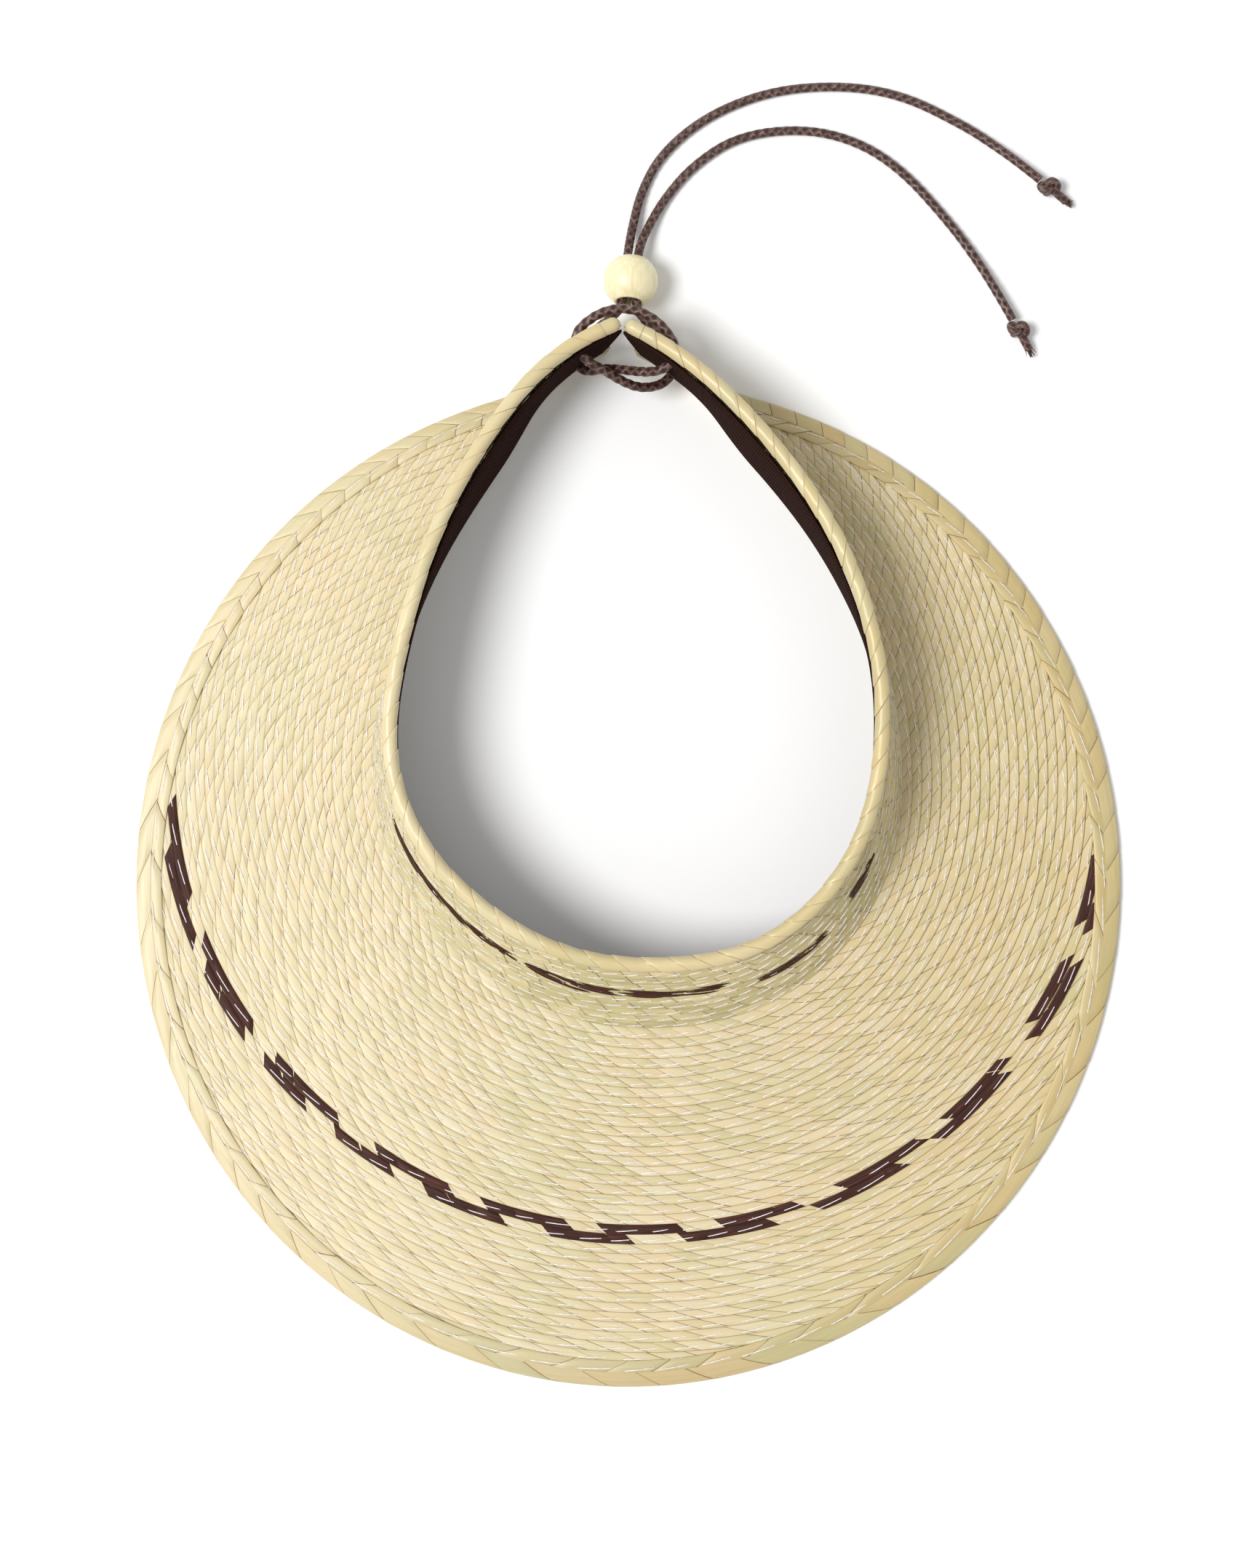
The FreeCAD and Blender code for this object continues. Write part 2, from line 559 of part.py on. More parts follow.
def knotBody(name, at, along):
    """Flat face on the cord, a round swell, then the short free end of the cord."""
    r, flat, long, stub = size("knotRadius"), size("knotFlat"), size("knotLength"), size("tailRadius")
    body = doc.addObject("PartDesign::Body", name)
    body.Label = name
    sketch = newSketch(body, name + "_outline", "XY_Plane")
    startAngle = math.asin(stub / r)
    endAngle = math.pi - math.acos(flat / r)
    neck = flat + math.sqrt(r * r - stub * stub)
    face = math.sqrt(r * r - flat * flat)
    circle = Part.Circle(point(flat, 0), FreeCAD.Vector(0, 0, 1), r)
    sketch.addGeometry(Part.ArcOfCircle(circle, startAngle, endAngle), False)
    sketch.addGeometry(Part.LineSegment(point(neck, stub), point(long, stub)), False)
    sketch.addGeometry(Part.LineSegment(point(long, stub), point(long, 0)), False)
    sketch.addGeometry(Part.LineSegment(point(long, 0), point(0, 0)), False)
    sketch.addGeometry(Part.LineSegment(point(0, 0), point(0, face)), False)
    for first, second in (((0, 1), (1, 1)), ((1, 2), (2, 1)), ((2, 2), (3, 1)),
                          ((3, 2), (4, 1)), ((4, 2), (0, 2))):
        sketch.addConstraint(Sketcher.Constraint("Coincident", first[0], first[1], second[0], second[1]))
    sketch.addConstraint(Sketcher.Constraint("Coincident", 3, 2, -1, 1))
    sketch.addConstraint(Sketcher.Constraint("Horizontal", 1))
    sketch.addConstraint(Sketcher.Constraint("Vertical", 2))
    sketch.addConstraint(Sketcher.Constraint("Horizontal", 3))
    sketch.addConstraint(Sketcher.Constraint("Vertical", 4))
    sketch.addConstraint(Sketcher.Constraint("PointOnObject", 0, 3, -1))
    for label, constraint, cell in (
            ("swell", Sketcher.Constraint("Radius", 0, r), "knotRadius"),
            ("middle", Sketcher.Constraint("DistanceX", -1, 1, 0, 3, flat), "knotFlat"),
            ("whole", Sketcher.Constraint("DistanceX", -1, 1, 2, 2, long), "knotLength"),
            ("cord", Sketcher.Constraint("DistanceY", 2, 2, 2, 1, stub), "tailRadius")):
        index = sketch.addConstraint(constraint)
        sketch.renameConstraint(index, label)
        sketch.setExpression("Constraints." + label, "Sizes." + cell)
    turned = body.newObject("PartDesign::Revolution", name + "_turned")
    turned.Profile = sketch
    turned.ReferenceAxis = (sketch, ["H_Axis"])
    turned.Angle = 360
    body.Tip = turned
    body.Placement = FreeCAD.Placement(at, FreeCAD.Rotation(FreeCAD.Vector(1, 0, 0), along))
    return body


beadBody()
for name, route in (("knot_outer", outerTailRoute), ("knot_inner", innerTailRoute)):
    end, before = FreeCAD.Vector(*route[-1]), FreeCAD.Vector(*route[-2])
    knotBody(name, end, end - before)

doc.recompute()

# ---- check and write -----------------------------------------------------------------------
nodes = ["crown_braid", "brim_braid", "brim_edge_binding", "crown_edge_binding", "sweatband",
         "brim_dyed_strips", "crown_dyed_strips", "sewing_thread", "lacing", "lace_tail_outer",
         "lace_tail_inner", "knot_outer", "knot_inner", "bead"]
for item in doc.Objects:
    if "Invalid" in item.State or "Error" in item.State:
        raise RuntimeError("%s did not build: %s" % (item.Name, item.State))
byLabel = {item.Label: item for item in doc.Objects}
os.makedirs("parts", exist_ok=True)
for label in nodes:
    shape = byLabel[label].Shape
    if shape.isNull() or not shape.isValid():
        raise RuntimeError("%s is not a valid shape" % label)
    box = shape.BoundBox
    print("%-20s solids %2d volume %9.1f  x %7.1f %7.1f  y %7.1f %7.1f  z %6.2f %6.2f" % (
        label, len(shape.Solids), shape.Volume, box.XMin, box.XMax, box.YMin, box.YMax, box.ZMin, box.ZMax))
for label in nodes:
    byLabel[label].Shape.exportStep("parts/%s.step" % label)
print("wrote", len(nodes), "parts")
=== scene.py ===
import bpy
import numpy as np
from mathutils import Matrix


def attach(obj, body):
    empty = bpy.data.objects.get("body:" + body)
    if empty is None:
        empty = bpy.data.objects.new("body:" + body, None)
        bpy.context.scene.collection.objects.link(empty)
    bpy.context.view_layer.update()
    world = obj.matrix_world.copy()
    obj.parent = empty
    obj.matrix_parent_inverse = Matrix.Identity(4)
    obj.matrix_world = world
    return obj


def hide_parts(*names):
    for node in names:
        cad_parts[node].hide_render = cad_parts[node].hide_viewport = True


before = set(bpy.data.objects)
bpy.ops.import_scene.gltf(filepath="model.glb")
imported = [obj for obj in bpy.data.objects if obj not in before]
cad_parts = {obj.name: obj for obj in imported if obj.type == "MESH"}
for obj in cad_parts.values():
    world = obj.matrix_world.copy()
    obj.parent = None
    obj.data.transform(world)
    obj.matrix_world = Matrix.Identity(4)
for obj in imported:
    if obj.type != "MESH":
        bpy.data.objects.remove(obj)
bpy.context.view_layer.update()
print("frame loaded")
rng = np.random.default_rng(11)
millimetre = 0.001

def placed(name, data):
    made = bpy.data.objects.new(name, data)
    bpy.context.collection.objects.link(made)
    return made


# places in metres, angles in degrees: the camera looks straight down, the light comes from the left
studio = {"camera": (-0.0004, 0.01275, 1.4), "lens": 96.95, "far": 20, "sun": 2.45, "sunSpread": 23,
          "sunTurn": (3, -29), "world": 0.58, "floor": 3}

camera = placed("camera", bpy.data.cameras.new("camera"))
camera.location = studio["camera"]
camera.data.lens = studio["lens"]
camera.data.clip_end = studio["far"]
bpy.context.scene.camera = camera
bpy.context.scene.view_settings.view_transform = "Standard"

sun = placed("key_light", bpy.data.lights.new("key_light", "SUN"))
sun.data.energy = studio["sun"]
sun.data.angle = np.radians(studio["sunSpread"])
sun.rotation_euler = (*np.radians(studio["sunTurn"]), 0)

world = bpy.data.worlds.new("studio")
bpy.context.scene.world = world
world.use_nodes = True
world.node_tree.nodes["Background"].inputs["Color"].default_value = (1, 1, 1, 1)
world.node_tree.nodes["Background"].inputs["Strength"].default_value = studio["world"]

def linear(*rgb):
    c = np.array(rgb) / 255
    c = np.where(c <= 0.04045, c / 12.92, ((c + 0.055) / 1.055) ** 2.4)
    return (*[float(v) for v in c], 1.0)


def node(tree, kind, links=None, **settings):
    made = tree.nodes.new(kind)
    for key, value in settings.items():
        setattr(made, key, value)
    for key, value in (links or {}).items():
        if isinstance(value, bpy.types.NodeSocket):
            tree.links.new(value, made.inputs[key])
        else:
            made.inputs[key].default_value = value
    return made


def calc(tree, operation, *values):
    return node(tree, "ShaderNodeMath", dict(enumerate(values)), operation=operation).outputs[0]


def between(tree, value, low, high, first=0.0, last=1.0):
    made = node(tree, "ShaderNodeMapRange", {"Value": value, "From Min": low, "From Max": high,
                                             "To Min": first, "To Max": last})
    return made.outputs["Result"]


def mix(tree, factor, a, b, blend="MIX"):
    made = node(tree, "ShaderNodeMix", data_type="RGBA", blend_type=blend)
    for socket, value in ((made.inputs[0], factor), (made.inputs[6], a), (made.inputs[7], b)):
        if isinstance(value, bpy.types.NodeSocket):
            tree.links.new(value, socket)
        else:
            socket.default_value = value
    return made.outputs[2]


def ramp(tree, value, stops):
    made = node(tree, "ShaderNodeValToRGB", {"Fac": value})
    items = made.color_ramp.elements
    while len(items) < len(stops):
        items.new(0.5)
    for item, (place, colour) in zip(items, stops):
        item.position, item.color = place, colour
    return made.outputs["Color"]


def plaitGroup():
    # place: x counts the cells along a row, y is the row number plus the share across it
    tree = bpy.data.node_groups.new("plait", "ShaderNodeTree")
    tree.interface.new_socket("Place", in_out="INPUT", socket_type="NodeSocketVector")
    tree.interface.new_socket("Fold Width", in_out="INPUT", socket_type="NodeSocketFloat")
    for name in ("Pick", "Pick B", "Fold", "Step Shade", "Fibre"):
        tree.interface.new_socket(name, in_out="OUTPUT", socket_type="NodeSocketFloat")
    given = tree.nodes.new("NodeGroupInput")
    asked = tree.nodes.new("NodeGroupOutput")
    parts = node(tree, "ShaderNodeSeparateXYZ", {0: given.outputs["Place"]})
    along, across = parts.outputs["X"], parts.outputs["Y"]
    cell, row = calc(tree, "FLOOR", along), calc(tree, "FLOOR", across)
    share, w = calc(tree, "FRACT", along), calc(tree, "FRACT", across)
    key = node(tree, "ShaderNodeCombineXYZ", {0: cell, 1: row}).outputs[0]
    chance = node(tree, "ShaderNodeTexWhiteNoise", {"Vector": key}, noise_dimensions="2D")
    colours = node(tree, "ShaderNodeSeparateColor", {0: chance.outputs["Color"]})
    near = calc(tree, "MINIMUM", share, calc(tree, "SUBTRACT", 1.0, share))
    soft = calc(tree, "MULTIPLY", given.outputs["Fold Width"], 0.35)
    line = between(tree, near, soft, given.outputs["Fold Width"], 1.0, 0.0)
    strength = between(tree, colours.outputs[2], 0.0, 1.0, 0.2, 1.0)
    # a different stretch of noise for each cell, drawn out along the leaf
    jump = calc(tree, "MULTIPLY", chance.outputs["Value"], 31.0)
    stretched = node(tree, "ShaderNodeCombineXYZ",
                     {0: calc(tree, "MULTIPLY_ADD", along, 0.7, jump),
                      1: calc(tree, "MULTIPLY_ADD", w, 8.0, calc(tree, "MULTIPLY", along, 0.5)),
                      2: calc(tree, "MULTIPLY", row, 3.1)}).outputs[0]
    fibre = node(tree, "ShaderNodeTexNoise",
                 {"Vector": stretched, "Scale": 1.0, "Detail": 3.0, "Roughness": 0.6})
    tree.links.new(chance.outputs["Value"], asked.inputs["Pick"])
    tree.links.new(colours.outputs[0], asked.inputs["Pick B"])
    tree.links.new(calc(tree, "MULTIPLY", line, strength), asked.inputs["Fold"])
    # the row-step mask is painted shade along each row's outer edge, where it steps down over the next row
    tree.links.new(between(tree, w, 0.9, 1.0), asked.inputs["Step Shade"])
    tree.links.new(fibre.outputs[0], asked.inputs["Fibre"])
    return tree


plait = plaitGroup()


def blank(name, **constants):
    made = bpy.data.materials.new(name)
    made.use_nodes = True
    shader = made.node_tree.nodes["Principled BSDF"]
    for key, value in constants.items():
        shader.inputs[key.replace("_", " ")].default_value = value
    return made, made.node_tree, shader


def bumped(tree, shader, height, strength, distance):
    made = node(tree, "ShaderNodeBump", {"Height": height, "Strength": strength, "Distance": distance})
    tree.links.new(made.outputs[0], shader.inputs["Normal"])


def palm(name, colours, foldColour, foldWidth=0.05, foldShare=0.8, stepShadeShare=0.5, streak=0.10, patch=0.2,
         rough=0.5):
    made, tree, shader = blank(name, Roughness=rough)
    place = node(tree, "ShaderNodeUVMap", uv_map="cells").outputs[0]
    weave = node(tree, "ShaderNodeGroup", {}, node_tree=plait)
    tree.links.new(place, weave.inputs["Place"])
    weave.inputs["Fold Width"].default_value = foldWidth
    out = weave.outputs
    stops = [(i / (len(colours) - 1), linear(*(0.995 * v for v in c))) for i, c in enumerate(colours)]
    colour = ramp(tree, out["Pick"], stops)
    here = node(tree, "ShaderNodeTexCoord").outputs["Object"]
    broad = node(tree, "ShaderNodeTexNoise", {"Vector": here, "Scale": 22.0, "Detail": 2.0}).outputs[0]
    tint = ramp(tree, broad, [(0.32, linear(192, 196, 146)), (0.5, linear(214, 199, 156)),
                              (0.68, linear(222, 194, 148))])
    colour = mix(tree, patch, colour, tint)
    # painted light: the left half painted paler and the right half painted darker, as the key light from the
    # left falls on them
    side = node(tree, "ShaderNodeSeparateXYZ", {0: here}).outputs["X"]
    colour = mix(tree, between(tree, side, -0.02, -0.10, 0.0, 0.42), colour, linear(240, 226, 188))
    colour = mix(tree, between(tree, side, 0.02, 0.12, 0.0, 0.3), colour, linear(198, 172, 106))
    streaks = between(tree, out["Fibre"], 0.3, 0.7, 1 - streak, 1 + streak * 0.6)
    grey = node(tree, "ShaderNodeCombineColor", {0: streaks, 1: streaks, 2: streaks}).outputs[0]
    colour = mix(tree, 1.0, colour, grey, "MULTIPLY")
    # painted shade: a dark brown line along each row's outer edge where it overlaps the next row
    colour = mix(tree, calc(tree, "MULTIPLY", out["Step Shade"], stepShadeShare), colour, linear(112, 80, 36))
    colour = mix(tree, calc(tree, "MULTIPLY", out["Fold"], foldShare), colour, linear(*foldColour))
    tree.links.new(colour, shader.inputs["Base Color"])
    bumped(tree, shader, out["Fibre"], 0.35, 0.0002)
    return made


brimPalm = palm("palm braid",
                [(216, 201, 164), (210, 193, 152), (198, 189, 144), (219, 203, 168), (213, 193, 152),
                 (208, 197, 156), (220, 208, 176)],
                (116, 82, 38), foldWidth=0.042, foldShare=1.0, stepShadeShare=0.9)
crownPalm = palm("palm braid of the crown",
                 [(196, 184, 136), (182, 172, 122), (208, 192, 146), (188, 178, 130), (214, 197, 152)],
                 (96, 74, 36), foldWidth=0.04, streak=0.3, patch=0.1, stepShadeShare=0.8)
edgePalm = palm("palm edge binding",
                [(196, 178, 134), (186, 168, 120), (184, 175, 132), (200, 183, 142), (190, 168, 120)],
                (112, 78, 30), foldWidth=0.028, foldShare=1.0, stepShadeShare=0.2, streak=0.07, patch=0.15,
                rough=0.42)
rollPalm = palm("palm rolled binding",
                [(214, 196, 150), (208, 188, 140), (204, 192, 148), (218, 201, 158)],
                (118, 82, 36), foldWidth=0.03, stepShadeShare=0.0, streak=0.06, patch=0.12, rough=0.36)


def dyed():
    made, tree, shader = blank("dyed palm", Roughness=0.55, Specular_IOR_Level=0.2)
    place = node(tree, "ShaderNodeUVMap", uv_map="cells").outputs[0]
    weave = node(tree, "ShaderNodeGroup", {}, node_tree=plait)
    tree.links.new(place, weave.inputs["Place"])
    weave.inputs["Fold Width"].default_value = 0.04
    colour = ramp(tree, weave.outputs["Fibre"], [(0.3, linear(40, 17, 12)), (0.55, linear(66, 34, 24)),
                                                 (0.75, linear(104, 64, 52))])
    tree.links.new(colour, shader.inputs["Base Color"])
    bumped(tree, shader, weave.outputs["Fibre"], 0.4, 0.0002)
    return made


dyedPalm = dyed()


def thread():
    made, tree, shader = blank("sewing thread", Roughness=0.6)
    here = node(tree, "ShaderNodeTexCoord").outputs["Object"]
    noise = node(tree, "ShaderNodeTexNoise", {"Vector": here, "Scale": 900.0}).outputs[0]
    colour = ramp(tree, noise, [(0.35, linear(212, 206, 206)), (0.6, linear(240, 238, 238))])
    tree.links.new(colour, shader.inputs["Base Color"])
    return made


whiteThread = thread()


def ribbonCloth():
    made, tree, shader = blank("ribbon", Roughness=1.0, Specular_IOR_Level=0.04)
    place = node(tree, "ShaderNodeUVMap", uv_map="cells").outputs[0]
    parts = node(tree, "ShaderNodeSeparateXYZ", {0: place})
    rib = calc(tree, "SINE", calc(tree, "MULTIPLY", parts.outputs["X"], 6.2832))
    weft = calc(tree, "SINE", calc(tree, "MULTIPLY", parts.outputs["Y"], 150.0))
    height = calc(tree, "MULTIPLY_ADD", weft, 0.25, rib)
    share = between(tree, height, -1.2, 1.2)
    # painted shade: the ribs painted lighter and the hollows between them darker, from the same height as the
    # bump
    colour = ramp(tree, share, [(0.0, linear(30, 15, 11)), (1.0, linear(60, 36, 29))])
    tree.links.new(colour, shader.inputs["Base Color"])
    bumped(tree, shader, height, 0.6, 0.0002)
    return made


ribbonMaterial = ribbonCloth()


def cordMaterial():
    made, tree, shader = blank("waxed cord", Roughness=0.45)
    place = node(tree, "ShaderNodeUVMap", uv_map="cells").outputs[0]
    parts = node(tree, "ShaderNodeSeparateXYZ", {0: place})
    # painted shade: the colour follows the strands' relief, lighter on their crowns and darker in the grooves
    # between them
    shade = parts.outputs["Y"]
    here = node(tree, "ShaderNodeTexCoord").outputs["Object"]
    noise = node(tree, "ShaderNodeTexNoise", {"Vector": here, "Scale": 620.0, "Detail": 3.0}).outputs[0]
    colour = ramp(tree, calc(tree, "MULTIPLY_ADD", shade, 0.55, calc(tree, "MULTIPLY", noise, 0.45)),
                  [(0.34, linear(40, 24, 20)), (0.66, linear(78, 50, 43)), (0.84, linear(142, 116, 108))])
    tree.links.new(colour, shader.inputs["Base Color"])
    bumped(tree, shader, noise, 0.4, 0.0002)
    return made


waxedCord = cordMaterial()


def beadWood():
    made, tree, shader = blank("bead wood", Roughness=0.34)
    here = node(tree, "ShaderNodeTexCoord").outputs["Object"]
    long = node(tree, "ShaderNodeMapping", {"Vector": here, "Scale": (900.0, 60.0, 900.0)}).outputs[0]
    grain = node(tree, "ShaderNodeTexNoise", {"Vector": long, "Scale": 1.0, "Detail": 3.0}).outputs[0]
    colour = ramp(tree, grain, [(0.3, linear(232, 218, 172)), (0.55, linear(241, 231, 190)),
                                (0.75, linear(246, 238, 204))])
    tree.links.new(colour, shader.inputs["Base Color"])
    bumped(tree, shader, grain, 0.15, 0.0001)
    return made


beadMaterial = beadWood()
floorMaterial, floorTree, floorShader = blank("floor", Roughness=0.9, Base_Color=(0.93, 0.93, 0.93, 1))

# Routes in metres: from the bead's mouth round the four lace holes and back, then the two loose ends.
lacingRoute = [
    (0.00297, 0.18484, 0.00827), (0.00193, 0.16998, 0.01254), (0.0054, 0.1652, 0.013),
    (0.0115, 0.158, 0.0128),
    (0.0169, 0.1513, 0.0125), (0.0127, 0.145, 0.0125), (0.0086, 0.143, 0.0149), (0.0036, 0.1424, 0.0182),
    (-0.0015, 0.1439, 0.0217), (-0.0075, 0.1472, 0.0258), (-0.0141, 0.1504, 0.029), (-0.018, 0.1569, 0.029),
    (-0.0146, 0.1623, 0.0298), (-0.0065, 0.1669, 0.0303), (0.002, 0.1669, 0.0303), (0.0102, 0.1628, 0.03),
    (0.0165, 0.1538, 0.029), (0.0123, 0.1474, 0.029), (0.0065, 0.1467, 0.0255), (0.0003, 0.1477, 0.0216),
    (-0.007, 0.149, 0.017), (-0.0151, 0.1478, 0.0125), (-0.019, 0.1543, 0.0125), (-0.0118, 0.161, 0.0129),
    (-0.0053, 0.1662, 0.013), (-0.00147, 0.17022, 0.01254), (-0.00043, 0.18508, 0.00827),
]
outerTailRoute = [
    (-0.00043, 0.18508, 0.00827), (0.0001, 0.1896, 0.0069), (0.0015, 0.1975, 0.0034), (0.0043, 0.209, 0.0016),
    (0.011, 0.2215, 0.0016), (0.0257, 0.2338, 0.0016), (0.0465, 0.2422, 0.0016), (0.0699, 0.2442, 0.0016),
    (0.0907, 0.241, 0.0016), (0.1115, 0.2306, 0.0016), (0.121, 0.2242, 0.0024), (0.1292, 0.218, 0.0043),
    (0.1362, 0.2124, 0.0043),
]
innerTailRoute = [
    (0.00297, 0.18484, 0.00827), (0.0035, 0.1894, 0.0069), (0.0066, 0.197, 0.0036), (0.0122, 0.2068, 0.0016),
    (0.0215, 0.2176, 0.0016), (0.0361, 0.2272, 0.0016), (0.0569, 0.2299, 0.0016), (0.0751, 0.226, 0.0016),
    (0.0907, 0.2161, 0.0016), (0.1063, 0.1987, 0.0016), (0.1148, 0.187, 0.0024), (0.1214, 0.1762, 0.0043),
    (0.1271, 0.1662, 0.0043),
]


class Pile:
    # Gathers closed tubes: grids of points (tubes, columns, ring, 3) in millimetres with their cell places
    def __init__(self):
        self.points, self.places, self.quads, self.triangles, self.count = [], [], [], [], 0

    def add(self, grid, places):
        if grid.ndim == 3:
            grid, places = grid[None], places[None]
        tubes, columns, ring = grid.shape[:3]
        c, r = np.meshgrid(np.arange(columns - 1), np.arange(ring), indexing="ij")
        n = (r + 1) % ring
        quads = np.stack([c * ring + r, c * ring + n, (c + 1) * ring + n, (c + 1) * ring + r], -1)
        quads = quads.reshape(-1, 4)
        k = np.arange(1, ring - 1)
        last = (columns - 1) * ring
        caps = np.concatenate([np.stack([0 * k, k + 1, k], -1),
                               np.stack([0 * k + last, last + k, last + k + 1], -1)])
        starts = self.count + np.arange(tubes) * columns * ring
        self.quads.append((quads[None] + starts[:, None, None]).reshape(-1, 4))
        self.triangles.append((caps[None] + starts[:, None, None]).reshape(-1, 3))
        self.points.append(grid.reshape(-1, 3))
        self.places.append(np.broadcast_to(places, grid.shape[:3] + (2,)).reshape(-1, 2))
        self.count += tubes * columns * ring

    def finish(self, name, material, body="visor", sharp=0.7):
        points, places = np.concatenate(self.points), np.concatenate(self.places)
        quads, triangles = np.concatenate(self.quads), np.concatenate(self.triangles)
        mesh = bpy.data.meshes.new(name)
        corners = np.concatenate([quads.ravel(), triangles.ravel()]).astype(np.int32)
        sides = np.concatenate([np.full(len(quads), 4), np.full(len(triangles), 3)])
        mesh.vertices.add(len(points))
        mesh.vertices.foreach_set("co", (points * millimetre).astype(np.float32).ravel())
        mesh.loops.add(len(corners))
        mesh.loops.foreach_set("vertex_index", corners)
        mesh.polygons.add(len(sides))
        mesh.polygons.foreach_set("loop_start", (np.cumsum(sides) - sides).astype(np.int32))
        mesh.update(calc_edges=True)
        layer = mesh.uv_layers.new(name="cells")
        layer.uv.foreach_set("vector", places[corners].astype(np.float32).ravel())
        mesh.shade_smooth()
        mesh.set_sharp_from_angle(angle=sharp)
        mesh.materials.append(material)
        made = placed(name, mesh)
        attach(made, body)
        print(name, len(quads) * 2 + len(triangles), "triangles")
        return made


def splineLine(route):
    # The NURBS spline's own points, in metres
    curve = bpy.data.curves.new("route", "CURVE")
    curve.dimensions = "3D"
    curve.resolution_u = 14
    spline = curve.splines.new("NURBS")
    spline.points.add(len(route) - 1)
    for point, place in zip(spline.points, route):
        point.co = (*place, 1)
    spline.order_u = 3
    spline.use_endpoint_u = True
    holder = placed("route", curve)
    mesh = bpy.data.meshes.new_from_object(holder)
    line = np.array([v.co[:] for v in mesh.vertices])
    bpy.data.objects.remove(holder)
    bpy.data.meshes.remove(mesh)
    bpy.data.curves.remove(curve)
    return line


def framesAlong(line):
    # Unit tangents and a pair of normals carried along the line without twisting
    ahead = np.gradient(line, axis=0)
    ahead /= np.linalg.norm(ahead, axis=1)[:, None]
    side = np.cross(ahead[0], (0.0, 0.0, 1.0))
    sides = []
    for t in ahead:
        side = side - t * side.dot(t)
        side = side / np.linalg.norm(side)
        sides.append(side)
    sides = np.array(sides)
    return ahead, sides, np.cross(sides, ahead)


def rings(centres, radii, side, up, angles):
    # Ring points: centre + r (side cos(angle) + up sin(angle))
    way = np.cos(angles)[None, :, None] * side + np.sin(angles)[None, :, None] * up
    return centres[:, None] + radii[..., None] * way


def cordTube(pile, line, radius, step, relief):
    # Section radius = R (1 - relief + relief max(sin(3a + ks), sin(3a - ks))): two sets of strands crossing
    run = np.concatenate([[0], np.cumsum(np.linalg.norm(np.diff(line, axis=0), axis=1))])
    places = np.linspace(0, run[-1], max(4, int(run[-1] / step)))
    path = np.stack([np.interp(places, run, line[:, i]) for i in range(3)], 1)
    ahead, side, up = framesAlong(path)
    a = np.arange(20) * 2 * np.pi / 20
    turn = places[:, None] * 2 * np.pi / (radius * 2.1)
    strands = np.maximum(np.sin(3 * a[None] + turn), np.sin(3 * a[None] - turn))
    r = radius * (1 - relief + relief * strands)
    grid = rings(path, r, side[:, None], up[:, None], a)
    pile.add(grid, np.stack([np.broadcast_to(places[:, None], strands.shape), 0.5 + 0.45 * strands], -1))


lacing = {"radius": 1.6, "relief": 0.07, "step": 0.34, "diameter": 0.0032}
tail = {"radius": 1.5, "relief": 0.07, "step": 0.34, "diameter": 0.003}


def cordPiece(name, route, cord):
    line = splineLine(route)
    pile = Pile()
    cordTube(pile, line / millimetre, cord["radius"], cord["step"], cord["relief"])
    made = pile.finish(name, waxedCord)
    measured = float(np.linalg.norm(np.diff(line, axis=0), axis=1).sum())
    print(name, "centre line", round(measured, 4))
    return made, line, measured


lacingCord, lacingLine, lacingRun = cordPiece("lacing_cord", lacingRoute, lacing)
outerTail, outerLine, outerRun = cordPiece("outer_tail", outerTailRoute, tail)
innerTail, innerLine, innerRun = cordPiece("inner_tail", innerTailRoute, tail)
for made, cadNode in ((lacingCord, "lacing"), (outerTail, "lace_tail_outer"), (innerTail, "lace_tail_inner")):
    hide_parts(cadNode)
print("cords made")

knot = {"radius": 4.2, "flat": 3.6, "stub": 10.4, "strand": 1.45, "fibres": 26}


def knotPiece(name, route):
    # Trefoil: x = sin t + 2 sin 2t, y = cos t - 2 cos 2t, z = -sin 3t, its axis tipped from the cord's way
    end, before = np.array(route[-1]) / millimetre, np.array(route[-2]) / millimetre
    ahead = (end - before) / np.linalg.norm(end - before)
    side = np.cross(ahead, (0.0, 0.0, 1.0))
    up = np.cross(side, ahead)
    middle = end + ahead * knot["flat"]
    tipped = np.radians(32)
    axis = ahead * np.cos(tipped) + side * np.sin(tipped)
    across = -ahead * np.sin(tipped) + side * np.cos(tipped)
    t = np.linspace(0, 2 * np.pi, 140)
    x, y, z = np.sin(t) + 2 * np.sin(2 * t), np.cos(t) - 2 * np.cos(2 * t), -np.sin(3 * t)
    wide = (knot["radius"] - knot["strand"]) / 3
    loop = middle + (x[:, None] * across + y[:, None] * up) * wide + z[:, None] * axis * wide * 1.35
    pile = Pile()
    cordTube(pile, loop, knot["strand"], 0.3, 0.06)
    stub = np.linspace(0, knot["stub"] - 3.0, 24)[:, None] * ahead + middle
    droop = np.linspace(0, 1, 24)[:, None] ** 2 * up * -1.6
    cordTube(pile, stub + droop, 1.45, 0.3, 0.06)
    root = stub[-1] + droop[-1] - ahead * 1.0
    for k in range(knot["fibres"]):
        spread = rng.normal(0, 0.5, 2)
        base = root + side * spread[0] + up * spread[1] * 0.7
        reach = rng.uniform(2.4, 4.2)
        bend = side * spread[0] * rng.uniform(0.3, 1.2) + up * (spread[1] * 0.5 - 0.3)
        a = np.linspace(0, 1, 6)[:, None]
        fibre = base + ahead * reach * a + bend * a ** 2
        around = np.arange(4) * np.pi / 2
        thin = 0.24 * (1 - 0.75 * a)
        grid = rings(fibre, thin, side, up, around)
        pile.add(grid, np.full(grid.shape[:2] + (2,), 0.62))
    made = pile.finish(name, waxedCord)
    return made


outerKnot = knotPiece("outer_knot", outerTailRoute)
innerKnot = knotPiece("inner_knot", innerTailRoute)
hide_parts("knot_outer")
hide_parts("knot_inner")
print("knots made")

